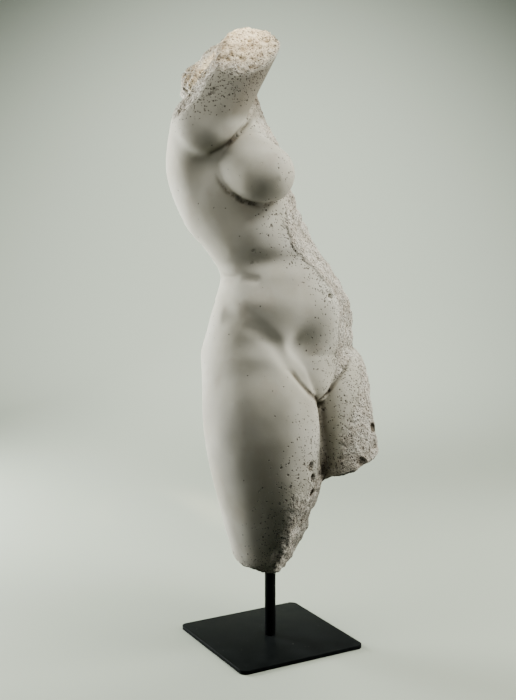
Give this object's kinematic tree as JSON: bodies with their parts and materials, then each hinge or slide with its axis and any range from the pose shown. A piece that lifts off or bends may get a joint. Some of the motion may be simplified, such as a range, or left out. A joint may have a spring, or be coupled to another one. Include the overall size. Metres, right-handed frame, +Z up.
{
  "type": "plaster torso sculpture on a rod stand",
  "caption": "Fragment of a standing nude torso in plaster, one arm raised and broken, left side broken away, on a round rod and a thin square foot plate.",
  "frame": {"origin": "middle of the foot plate's underside, on the rod's axis", "axes": "+Z up along the rod, X and Y along the sides of the foot plate; the figure's front looks to -Y, turned 16 degrees towards +X"},
  "size_m": [0.3006, 0.2325, 0.8728],
  "materials": {
    "plaster": "dry, chalky cast plaster, smooth skin with rough pitted breaks",
    "rod_black": "satin black steel",
    "plate_black": "satin black steel"
  },
  "bodies": {
    "root": {"torso": "plaster", "stand_rod": "rod_black", "base_plate": "plate_black"}
  },
  "joints": []
}
